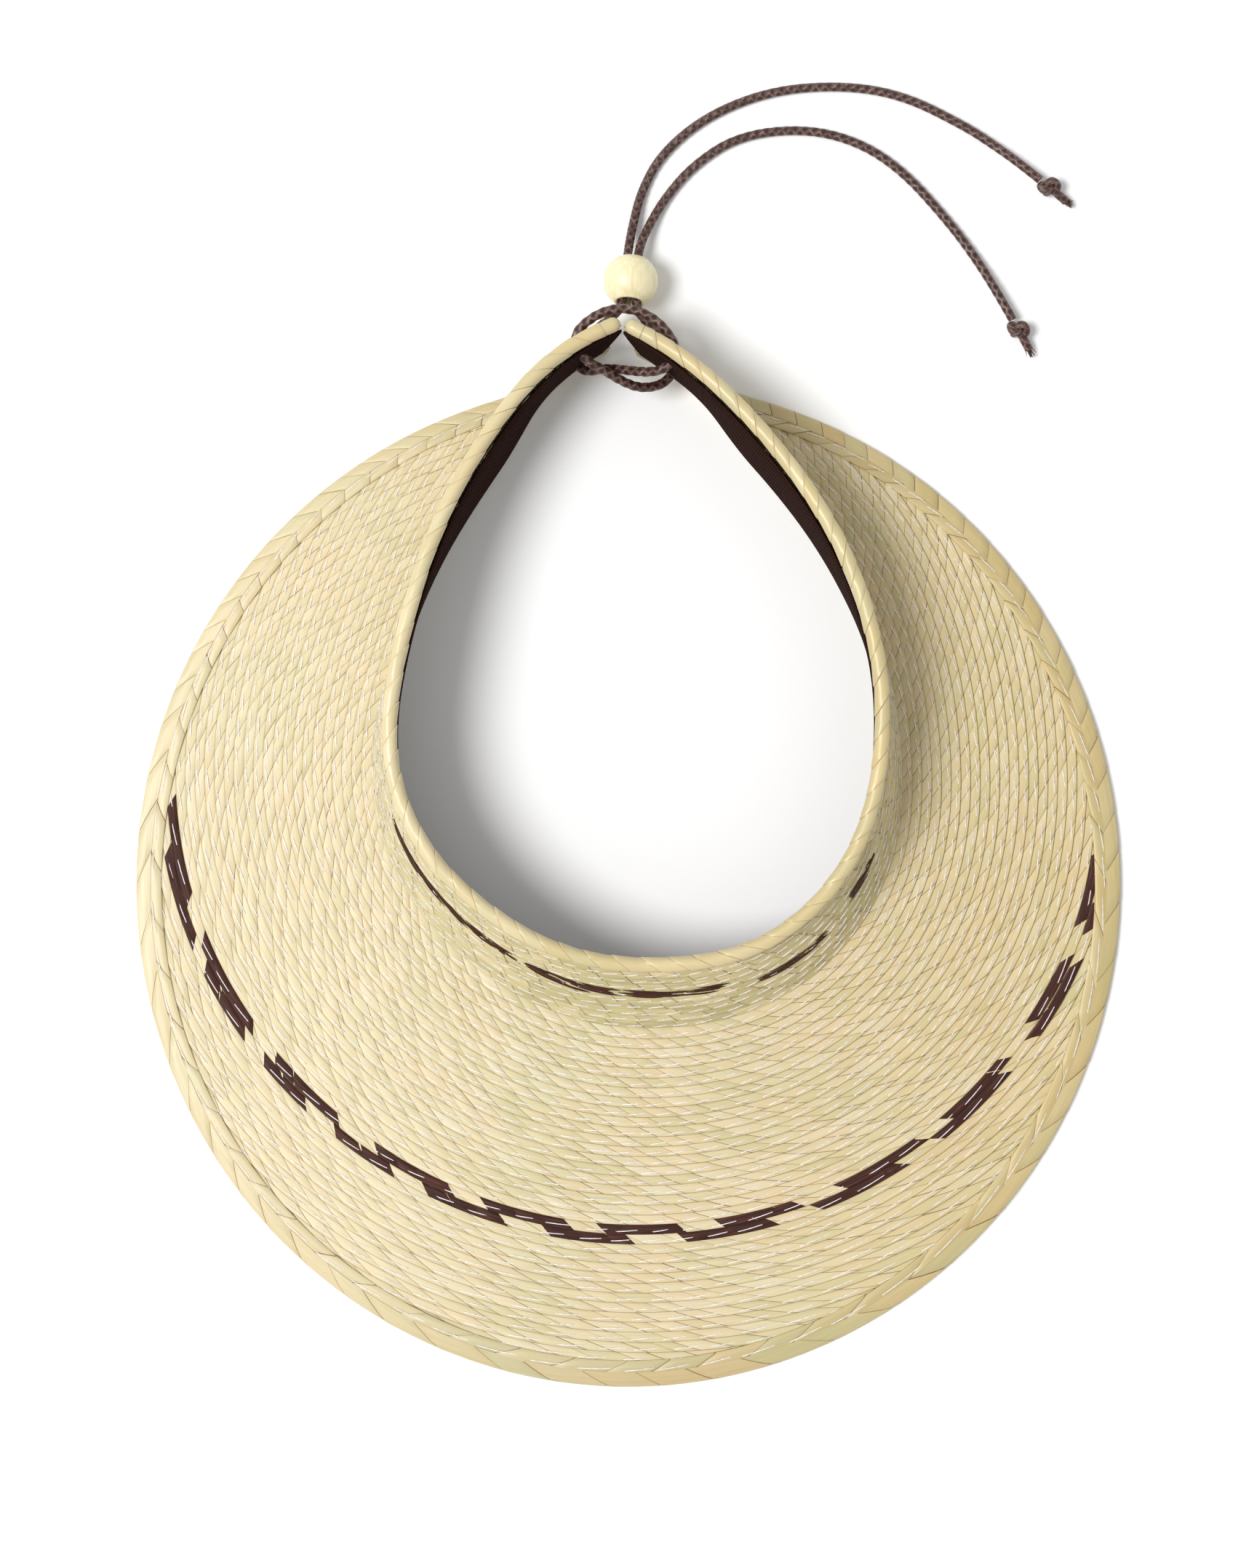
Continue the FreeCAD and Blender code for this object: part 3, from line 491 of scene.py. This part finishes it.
# s runs along the crown's top edge from the middle of the front (right side positive), v down the wall and
# out over the brim, off stands away from the surface; all in millimetres.
topEdge = np.array([
    (-2.0, 162.05), (-30.0, 149.55), (-61.5, 100.55), (-74.0, 54.55), (-78.5, 20.05), (-65.0, -13.45),
    (-26.5, -42.45), (10.0, -46.45), (46.5, -40.95), (76.0, -9.95), (82.5, 29.05), (79.5, 62.55),
    (63.0, 103.55),
    (25.5, 147.05), (-1.5, 161.55)])
wallDepth, edgeHeight = 33.0, 1.5
crown = {"lean": 21.6, "top": 47.2, "tip": 35.2, "cutBack": 7.0}
oval = {"halves": (163, 166.5), "rim": 1.8, "centreY": -20.45}


def smooth(x):
    x = np.clip(x, 0, 1)
    return x * x * (3 - 2 * x)


def curveThrough(a, knots):
    # Monotone cubic through the knots: Hermite pieces with weighted harmonic slopes
    x, y = np.array(knots, float).T
    gaps, rises = np.diff(x), np.diff(y) / np.diff(x)
    slopes = np.zeros(len(x))
    for i in range(1, len(x) - 1):
        if rises[i - 1] * rises[i] > 0:
            before, after = 2 * gaps[i] + gaps[i - 1], gaps[i] + 2 * gaps[i - 1]
            slopes[i] = (before + after) / (before / rises[i - 1] + after / rises[i])
    slopes[-1] = rises[-1]
    i = np.clip(np.searchsorted(x, a) - 1, 0, len(x) - 2)
    t = np.clip((a - x[i]) / gaps[i], 0, 1)
    return ((2 * t ** 3 - 3 * t ** 2 + 1) * y[i] + (t ** 3 - 2 * t ** 2 + t) * gaps[i] * slopes[i]
            + (3 * t ** 2 - 2 * t ** 3) * y[i + 1] + (t ** 3 - t ** 2) * gaps[i] * slopes[i + 1])


ends = np.concatenate([[topEdge[0]] * 2, topEdge, [topEdge[-1]] * 2])
t = (np.arange(120) / 120)[:, None]
weights = ((1 - t) ** 3, 3 * t ** 3 - 6 * t ** 2 + 4, -3 * t ** 3 + 3 * t ** 2 + 3 * t + 1, t ** 3)
line = np.concatenate([sum(w * ends[i + j] for j, w in enumerate(weights)) / 6 for i in range(len(ends) - 3)]
                      + [ends[-1:]])
run = np.concatenate([[0], np.cumsum(np.linalg.norm(np.diff(line, axis=0), axis=1))])
half = run[-1] / 2


def edgeAt(s):
    return np.stack([np.interp(s + half, run, line[:, i]) for i in range(2)], -1)


def bandTable():
    s = np.linspace(-half, half, 1501)
    here = edgeAt(s)
    t = edgeAt(s + 0.5) - edgeAt(s - 0.5)
    t /= np.linalg.norm(t, axis=1)[:, None]
    n = np.stack([t[:, 1], -t[:, 0]], 1)
    a = np.abs(s) / half
    lean = crown["lean"] * curveThrough(a, [(0, 1), (0.2, 0.81), (0.42, 0.347), (0.6, 0.046), (0.8, -0.23),
                                            (0.92, -0.176), (1, -0.106)])
    top = curveThrough(a, [(0, crown["top"]), (0.45, crown["top"]), (1, crown["tip"])])
    crease = top - np.sqrt(wallDepth ** 2 - lean ** 2)
    # the outward line meets the oval of the brim's edge
    axes, dy = np.array(oval["halves"]) - oval["rim"], here[:, 1] - oval["centreY"]
    qa = (n ** 2 / axes ** 2).sum(1)
    qb = 2 * (here[:, 0] * n[:, 0] / axes[0] ** 2 + dy * n[:, 1] / axes[1] ** 2)
    qc = here[:, 0] ** 2 / axes[0] ** 2 + dy ** 2 / axes[1] ** 2 - 1
    inside = qb * qb - 4 * qa * qc
    reach = np.where(inside > 0, (-qb + np.sqrt(np.maximum(inside, 0))) / (2 * qa), -30.0)
    edge = ((reach - 2.5) + np.sqrt((reach + 2.5) ** 2 + 16)) / 2
    brim = np.hypot(edge - lean, crease - edgeHeight)
    back = -np.sign(s) * crown["cutBack"] * smooth((a - 0.86) / 0.14)
    return dict(s=s, x=here[:, 0], y=here[:, 1], tx=t[:, 0], ty=t[:, 1], lean=lean, top=top, crease=crease,
                edge=edge, brim=brim, back=back)


band = bandTable()


def cut(s):
    got = {name: np.interp(s, band["s"], values) for name, values in band.items() if name != "s"}
    size = np.hypot(got["tx"], got["ty"])
    got["tx"], got["ty"] = got["tx"] / size, got["ty"] / size
    return got


def atPlace(c, out, z, v):
    slip = c["back"] * v / (wallDepth + c["brim"])
    return np.stack([c["x"] + c["ty"] * out + c["tx"] * slip, c["y"] - c["tx"] * out + c["ty"] * slip, z], -1)


def surface(s, v, off):
    s, v, off = np.broadcast_arrays(s, v, off)
    c = cut(s)
    wallOut, wallUp = c["lean"] / wallDepth, (c["crease"] - c["top"]) / wallDepth
    brimOut, brimUp = (c["edge"] - c["lean"]) / c["brim"], (edgeHeight - c["crease"]) / c["brim"]
    below = v > wallDepth
    wayOut, wayUp = np.where(below, brimOut, wallOut), np.where(below, brimUp, wallUp)
    out = np.where(below, c["lean"] + brimOut * (v - wallDepth), wallOut * v)
    z = np.where(below, c["crease"] + brimUp * (v - wallDepth), c["top"] + wallUp * v)
    return atPlace(c, out - wayUp * off, z + wayOut * off, v)


def depth(s):
    return wallDepth + np.interp(s, band["s"], band["brim"])


def bindingTable():
    s = band["s"]
    edge, inward = surface(s, depth(s), 0.0), surface(s, depth(s) - 12, 0.0)
    outward = edge - inward
    outward /= np.linalg.norm(outward, axis=1)[:, None]
    up = np.cross(outward, np.stack([band["tx"], band["ty"], 0 * s], 1))
    up /= np.linalg.norm(up, axis=1)[:, None]
    return edge, outward, up


bindingEdge, bindingOut, bindingUp = bindingTable()


def bindingPoint(s, a, b):
    # a outward from the brim's edge, b up from the middle of the flat binding
    s, a, b = np.broadcast_arrays(s, a, b)
    edge, outward, up = [np.stack([np.interp(s, band["s"], table[:, i]) for i in range(3)], -1)
                         for table in (bindingEdge, bindingOut, bindingUp)]
    found = edge + outward * a[..., None] + up * b[..., None]
    found[..., 2] = np.maximum(found[..., 2], 0.0)
    return found

row = {"pitch": 3.335, "crownPitch": 3.3, "width": 4.2, "thick": 0.3, "tilt": 0.38, "first": 32.8,
       "crownFirst": 2.6, "cover": 5.0}
brimPlait = {"cell": 5.3, "spread": 0.3, "slant": 1.35, "dips": (-0.08, 0.03, 0.04, 0.02)}
crownPlait = {"cell": 9.0, "spread": 0.25, "slant": 0.9, "dips": (-0.1, 0.06, 0.08, 0.03)}
cellShares = (0.0, 0.1, 0.5, 0.92)
ringW = np.array([0.0, 0.06, 0.35, 0.65, 0.94, 1.0, 0.94, 0.5, 0.06])
ringH = np.array([0.0, 0.85, 1.0, 1.0, 0.85, 0.0, -0.85, -1.0, -0.85])


def spans(v0, cover):
    # Stretches of the band where a row starting at v0 isn't yet under the edge binding
    s = band["s"]
    free = v0 < depth(s) - cover
    edges = np.flatnonzero(np.diff(np.concatenate([[0], free.astype(int), [0]])))
    return [(s[a], s[b - 1]) for a, b in zip(edges[::2], edges[1::2]) if s[b - 1] - s[a] > 6]


def cells(start, end, length, spread):
    # Cell edges: running sum of lengths drawn evenly from length (1 - spread) to length (1 + spread)
    count = int((end - start) / length / (1 - spread)) + 3
    edges = start + np.concatenate([[0], np.cumsum(length * (1 + spread * rng.uniform(-1, 1, count)))])
    return np.append(edges[edges < end - 0.4 * length], end)


def fade(s, reach=6.0):
    return np.clip((half - np.abs(s)) / reach, 0, 1)


def columns(edges, shares, dips):
    # Columns at the given shares of every cell, with the lift of the strand there
    count = len(edges) - 1
    s = (edges[:-1, None] + np.array(shares)[None] * np.diff(edges)[:, None]).ravel()
    number = (np.arange(count)[:, None] + np.array(shares)[None]).ravel()
    lift = np.array(dips)[None] * rng.uniform(0.5, 1.4, (count, 1)) + rng.uniform(-0.06, 0.06, (count, 1))
    lift = lift.ravel()
    return np.append(s, edges[-1]), np.append(number, count), np.append(lift, dips[0])


def cellPlaces(along, across):
    return np.stack(np.broadcast_arrays(along, across), -1)


def drift(s, v):
    # The rows wander a little from the even spacing, most on the right of the front
    shift = np.interp(s, [-110, -50, -10, 40, 60, 90, 110], [0.3, 1.0, -0.3, -2.4, -2.4, -0.4, 0.0])
    return shift * np.clip((v - wallDepth) / 69, 0, 1) * np.clip((depth(s) - 8 - v) / 14, 0, 1)


def plaitRow(pile, number, start, end, v0, plaiting):
    # P(s, w) = surface(s + slant width (w - 1/2), v0 + w width, tilt (2w - 1) + thick h + lift)
    edges = cells(start, end, plaiting["cell"], plaiting["spread"])
    s, cell, lift = columns(edges, cellShares, plaiting["dips"])
    sideways = plaiting["slant"] * row["width"] * (ringW[None] - 0.5) * fade(s)[:, None]
    along = np.clip(s[:, None] + sideways, -half, half)
    off = row["tilt"] * (2 * ringW - 1)[None] + row["thick"] * ringH[None]
    off = off + lift[:, None] * np.clip(ringH, -0.5, 1)[None]
    v = v0 + row["width"] * ringW[None]
    grid = surface(along, v + drift(along, v0), off)
    pile.add(grid, cellPlaces(cell[:, None] + number * 211.0, number + 0.02 + 0.96 * ringW[None]))


stitch = {"radius": 0.16, "tilt": 0.16, "share": 0.70}
brimStitch = {"length": 4.2, "pitch": 5.8, "rise": 0.11}
crownStitch = {"length": 4.6, "pitch": 6.4, "rise": 0.09}
bindingStitch = {"length": 4.9, "pitch": 6.0, "rise": 0.12}


def stitchLine(pile, start, end, put, length, pitch, rise):
    # Flat capsules: five sections of four corners along each stitch, the end sections sunk in the palm
    start = start + rng.uniform(0, pitch)
    count = int((end - start) / pitch)
    if count < 1:
        return
    middle = start + (np.arange(count) + 0.5 + rng.uniform(-0.1, 0.1, count)) * pitch
    a = np.array([-1.0, -0.86, 0.0, 0.86, 1.0])
    size = np.array([0.5, 0.9, 1.0, 0.9, 0.5]) * stitch["radius"]
    sink = np.array([-0.34, -0.02, 0.06, -0.02, -0.34])
    long = length * rng.uniform(0.88, 1.1, count)
    turn = np.arange(4) * np.pi / 2 + np.pi / 4
    s = middle[:, None, None] + 0.5 * long[:, None, None] * a[None, :, None]
    tilt = stitch["tilt"] + rng.uniform(-0.05, 0.05, count)
    lean = (tilt * 0.5 * long)[:, None, None] * a[None, :, None]
    astray = rng.uniform(-0.12, 0.12, count)[:, None, None]
    v = -lean + astray + size[None, :, None] * np.cos(turn)[None, None] * -1.2
    off = rise + sink[None, :, None] + size[None, :, None] * np.sin(turn)[None, None]
    s, v, off = np.broadcast_arrays(s, v, off)
    pile.add(put(np.clip(s, -half, half), v, off), np.zeros(s.shape + (2,)))


def rowTop(w):
    return row["tilt"] * (2 * w - 1) + row["thick"]


brimGroups = [("brim_rows_inner", 0, 9), ("brim_rows_middle", 9, 18), ("brim_rows_outer", 18, 60)]
brimStitches = Pile()
flat = []
for name, first, last in brimGroups:
    pile = Pile()
    for k in range(first, last):
        v0 = row["first"] + row["pitch"] * k
        for start, end in spans(v0, row["cover"]):
            plaitRow(pile, k, start, end, v0, brimPlait)
            stitchLine(brimStitches, start, end,
                       lambda s, v, off, low=v0, base=v0 + stitch["share"] * row["width"]:
                       surface(s, base + v + drift(s, low), rowTop(stitch["share"]) + off), **brimStitch)
            flat.append(end - start)
    made = pile.finish(name, brimPalm)
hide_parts("brim_braid")
print("brim rows", len(flat), "plait length", round(sum(flat)))

pile = Pile()
crownStitches = Pile()
for k in range(9):
    v0 = row["crownFirst"] + row["crownPitch"] * k
    for start, end in spans(v0, row["cover"]):
        plaitRow(pile, 70 + k, start, end, v0, crownPlait)
        stitchLine(crownStitches, start + 2, end - 2,
                   lambda s, v, off, base=v0 + stitch["share"] * row["width"]:
                   surface(s, base + v, rowTop(stitch["share"]) + off),
                   **crownStitch)
crownRows = pile.finish("crown_rows", crownPalm)
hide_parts("crown_braid")
print("crown rows made")

# (start, end) in millimetres along the band for each strip of the two rows of the brim
brimRowInner = [(-112.5, -97.6), (-91.7, -76.2), (-70.3, -54.5), (-46.2, -32.2), (-27, -13.5), (-8.2, 6.8),
                (13.5, 26.2), (32.5, 45), (49.5, 62), (69, 80), (85.5, 97.5)]
brimRowOuter = [(-105.5, -91.7), (-87.9, -76.4), (-71.5, -60.8), (-54, -42), (-36, -23.5), (-17, -3),
                (6.8, 22), (28.5, 41), (46.8, 60.5), (67, 80), (84.8, 90.1)]
crownDashes = [(-99, -40, 13.4, 16.6), (-38, -9, 13.2, 16.9), (-9, 24, 13.6, 16.6), (31, 56.5, 16.9, 19.4),
               (63, 81, 14.2, 17.4)]


def dyedStrip(pile, number, start, end, v0, w0, w1):
    # The row's own surface lifted by 0.1 mm, its ends cut along the plait's slant
    w = w0 + (w1 - w0) * ringW
    s, cell, lift = columns(cells(start, end, 5.0, 0.2), cellShares, (-0.08, 0.03, 0.05, 0.02))
    along = s[:, None] + 2.0 * (w[None] - (w0 + w1) / 2) / (w1 - w0)
    off = row["tilt"] * (2 * w - 1)[None] + row["thick"] - 0.02 + 0.16 * ringH[None]
    off = off + lift[:, None] * (ringH > 0)[None]
    grid = surface(along, v0 + row["width"] * w[None] + drift(along, v0), off)
    pile.add(grid, cellPlaces(cell[:, None] + 17.0 * number, number + 0.02 + 0.96 * ringW[None]))


pile = Pile()
for i, (start, end) in enumerate(brimRowInner):
    dyedStrip(pile, i, start, end, row["first"] + row["pitch"] * 20, 0.2, 0.985)
for i, (start, end) in enumerate(brimRowOuter):
    dyedStrip(pile, 20 + i, start, end, row["first"] + row["pitch"] * 21, 0.2, 0.985)
brimDyed = pile.finish("brim_dyed_palm", dyedPalm)
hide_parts("brim_dyed_strips")

pile = Pile()
for i, (start, end, v0, v1) in enumerate(crownDashes):
    # a bundle of narrow splints side by side, each broken into ragged lengths
    for j in range(5):
        low, at = v0 + (v1 - v0) * j / 5, start + rng.uniform(0, 5)
        while at < end - 3:
            stop = min(at + rng.uniform(7, 22), end + rng.uniform(-4, 2))
            s, cell, lift = columns(cells(at, stop, 5.0, 0.3), cellShares, (-0.05, 0.03, 0.05, 0.0))
            slim = np.clip(np.minimum(s - at, stop - s) / 3, 0.1, 1)[:, None]
            mid = low + (v1 - v0) / 10 + (0.16 * np.sin(s / 3.1 + 2 * j) + 0.05 * (s - at))[:, None] - 0.3
            grid = surface(s[:, None], mid + (v1 - v0) / 5 * 0.7 * slim * (2 * ringW - 1)[None],
                           0.6 + 0.12 * ringH[None] + 0.04 * (j % 3))
            pile.add(grid, cellPlaces(cell[:, None] + 31.0 * j, 60 + j + 5 * i + 0.5 * ringW[None]))
            at = stop + rng.uniform(0.5, 3)
crownDyed = pile.finish("crown_dyed_palm", dyedPalm)
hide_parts("crown_dyed_strips")
print("dyed strips made")

binding = {"cell": 7.0, "slope": 0.8}
outerA = np.array([-3.7, -3.7, -1.8, 0.0, 1.1, 1.8, 1.1, 0.0, -3.7])
outerB = np.array([-1.2, 1.45, 1.6, 1.6, 1.3, 0.0, -1.42, -1.8, -1.8])
outerRun = np.array([0.0, 0.0, 1.9, 3.7, 4.9, 6.5, 4.9, 3.7, 0.0])
innerA = np.array([-7.4, -7.5, -7.0, -5.2, -3.2, -3.2, -7.0])
innerB = np.array([-1.2, 0.95, 1.3, 1.45, 1.2, -1.6, -1.7])
innerRunW = np.array([0.0, 0.2, 0.6, 2.4, 4.4, 0.0, 0.0])


def bindingBand(pile, number, a, b, across, slope, shift):
    # P(s, i) = bindingPoint(s + slope across_i, a_i, b_i + lift)
    edges = cells(-half + 0.3, half - 0.3, binding["cell"], 0.18)
    s, cell, lift = columns(edges, (0.0, 0.06, 0.35, 0.7, 0.94), (-0.12, 0.1, 0.1, 0.04, -0.02))
    along = np.clip(s[:, None] + slope * across[None] * fade(s, 9)[:, None], -half, half)
    high = (b > 0.9)[None] * lift[:, None] * 1.3
    grid = bindingPoint(along, a[None], b[None] + high)
    share = across / across.max()
    pile.add(grid, cellPlaces(cell[:, None] + shift, number + 0.03 + 0.8 * share[None]))


pile = Pile()
bindingBand(pile, 90, innerA, innerB, innerRunW, -binding["slope"], 0)
bindingBand(pile, 92, outerA, outerB, outerRun, binding["slope"], 400)
edgeBinding = pile.finish("edge_binding", edgePalm)
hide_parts("brim_edge_binding")

bindingStitches = Pile()
stitchLine(bindingStitches, -half + 2, half - 2, lambda s, v, off: bindingPoint(s, -4.6 + v, 1.42 + off),
           **bindingStitch)

roll = {"radius": 2.45, "gap": 0.6, "cell": 8.6, "reach": 3.6, "out": 0.35}
s, cell, lift = columns(cells(-half + roll["gap"] + 6.2, half - roll["gap"] - 6.2, roll["cell"], 0.15),
                        (0.0, 0.05, 0.3, 0.65, 0.95), (-0.1, 0.12, 0.08, 0.0, -0.1))
tips = np.array([0.02, 0.25, 0.7, 1.4, 2.3, 3.4, 4.6]) + roll["gap"]
s = np.concatenate([-half + tips, s, half - tips[::-1]])
lift = np.concatenate([0 * tips, lift, 0 * tips])
fine = 0.12 * np.arange(len(tips))
cell = np.concatenate([cell[0] - 0.9 + fine, cell, cell[-1] + 0.1 + fine])
theta = -np.arange(16) * 2 * np.pi / 16     # from the outer side over the underside: normals point out
# P(s, q) = edge(s + reach cos q) + (r + lift)(n cos q + z sin q)
share = np.minimum((half - np.abs(s) - roll["gap"]) / roll["radius"], 1)
r = (roll["radius"] + lift) * np.sqrt(np.maximum(1 - (1 - share) ** 2, 0.004))
shiftFade = np.clip((half - np.abs(s) - 6) / 12, 0, 1)
along = s[:, None] + roll["reach"] * shiftFade[:, None] * np.cos(theta)[None]
centre = surface(along, 0.0, 0.0)
c = cut(along)
normal = np.stack([c["ty"], -c["tx"], 0 * along], -1)
grid = centre + roll["out"] * normal + r[:, None, None] * (normal * np.cos(theta)[None, :, None]
                                    + np.array([0, 0, 1.0]) * np.sin(theta)[None, :, None])
pile = Pile()
pile.add(grid[:, ::-1], cellPlaces(cell[:, None], 95 + 0.1 + 0.03 * np.arange(16)[None]))
rolled = pile.finish("rolled_binding", rollPalm)
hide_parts("crown_edge_binding")
print("bindings made")

for pile, name in ((brimStitches, "brim_stitches"), (crownStitches, "crown_stitches"),
                   (bindingStitches, "binding_stitches")):
    made = pile.finish(name, whiteThread)
    if pile is brimStitches:
        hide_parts("sewing_thread")
print("stitches made")

ribbon = {"near": 1.2, "thick": 1.2, "width": 30.0, "step": 1.5}


def wallFoot(s, off):
    # The crease, or the inner edge of the flat binding where the brim runs out
    s, off = np.broadcast_arrays(s, off)
    c = cut(s)
    wall = np.stack([c["lean"], c["crease"] - c["top"]]) / wallDepth
    brimWay = np.stack([c["edge"] - c["lean"], edgeHeight - c["crease"]]) / c["brim"]
    grow = off / (1 + (wall * brimWay).sum(0))
    out = c["lean"] + (-wall[1] - brimWay[1]) * grow
    crease = atPlace(c, out, c["crease"] + (wall[0] + brimWay[0]) * grow, wallDepth)
    share = smooth((c["brim"] - 8) / 6)[..., None]
    return crease * share + bindingPoint(s, -7.35, off) * (1 - share)


s = np.append(np.arange(-half + 0.3, half - 0.3, ribbon["step"]), half - 0.3)
deep = np.linalg.norm(wallFoot(s, 0.0) - surface(s, 2.9, 0.0), axis=-1)
top, low = 0.4 / deep, np.minimum((0.4 + ribbon["width"]) / deep, 1 - 0.4 / deep)
w = np.array([0.0, 0.02, 0.25, 0.5, 0.75, 0.98, 1.0, 0.98, 0.75, 0.5, 0.25, 0.02])
h = np.array([0.5, 0.9, 1.0, 1.0, 1.0, 0.9, 0.5, 0.1, 0.0, 0.0, 0.0, 0.1])
a = s / half
# the ribbon stands in from the wall along the sides, at the top and a little more at its lower edge
topIn = 0.75 * smooth((np.abs(a) - 0.3) / 0.12) * smooth((1 - np.abs(a)) / 0.1)
lowIn = np.where(a > 0, 2.2, 0.6) * smooth((np.abs(a) - 0.4) / 0.12) * smooth((0.78 - np.abs(a)) / 0.2)
share = top[:, None] + (low - top)[:, None] * w[None]
off = -ribbon["near"] - ribbon["thick"] * h[None]
foot = wallFoot(s[:, None], off)
for i in range(2):   # an even hem line where the wall's foot changes over
    pad = np.concatenate([foot[:1].repeat(6, 0), foot, foot[-1:].repeat(6, 0)])
    foot = sum(pad[k:k + len(foot)] for k in range(13)) / 13
grid = surface(s[:, None], 2.9, off) * (1 - share)[..., None] + foot * share[..., None]
inward = topIn[:, None] * (1 - w)[None] + lowIn[:, None] * w[None]
c = cut(s)
grid -= inward[..., None] * np.stack([c["ty"], -c["tx"], 0 * s], -1)[:, None]
pile = Pile()
pile.add(grid[:, ::-1], cellPlaces(s[:, None] / 0.9, w[None, ::-1]))
ribbonSheet = pile.finish("sweatband_ribbon", ribbonMaterial)
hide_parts("sweatband")
print("ribbon made")

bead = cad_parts["bead"]
bead.data.materials.clear()
bead.data.materials.append(beadMaterial)

floorMesh = bpy.data.meshes.new("floor")
far = studio["floor"]
floorMesh.from_pydata([(-far, -far, 0), (far, -far, 0), (far, far, 0), (-far, far, 0)], [], [(0, 1, 2, 3)])
floorMesh.materials.append(floorMaterial)
floor = placed("floor", floorMesh)
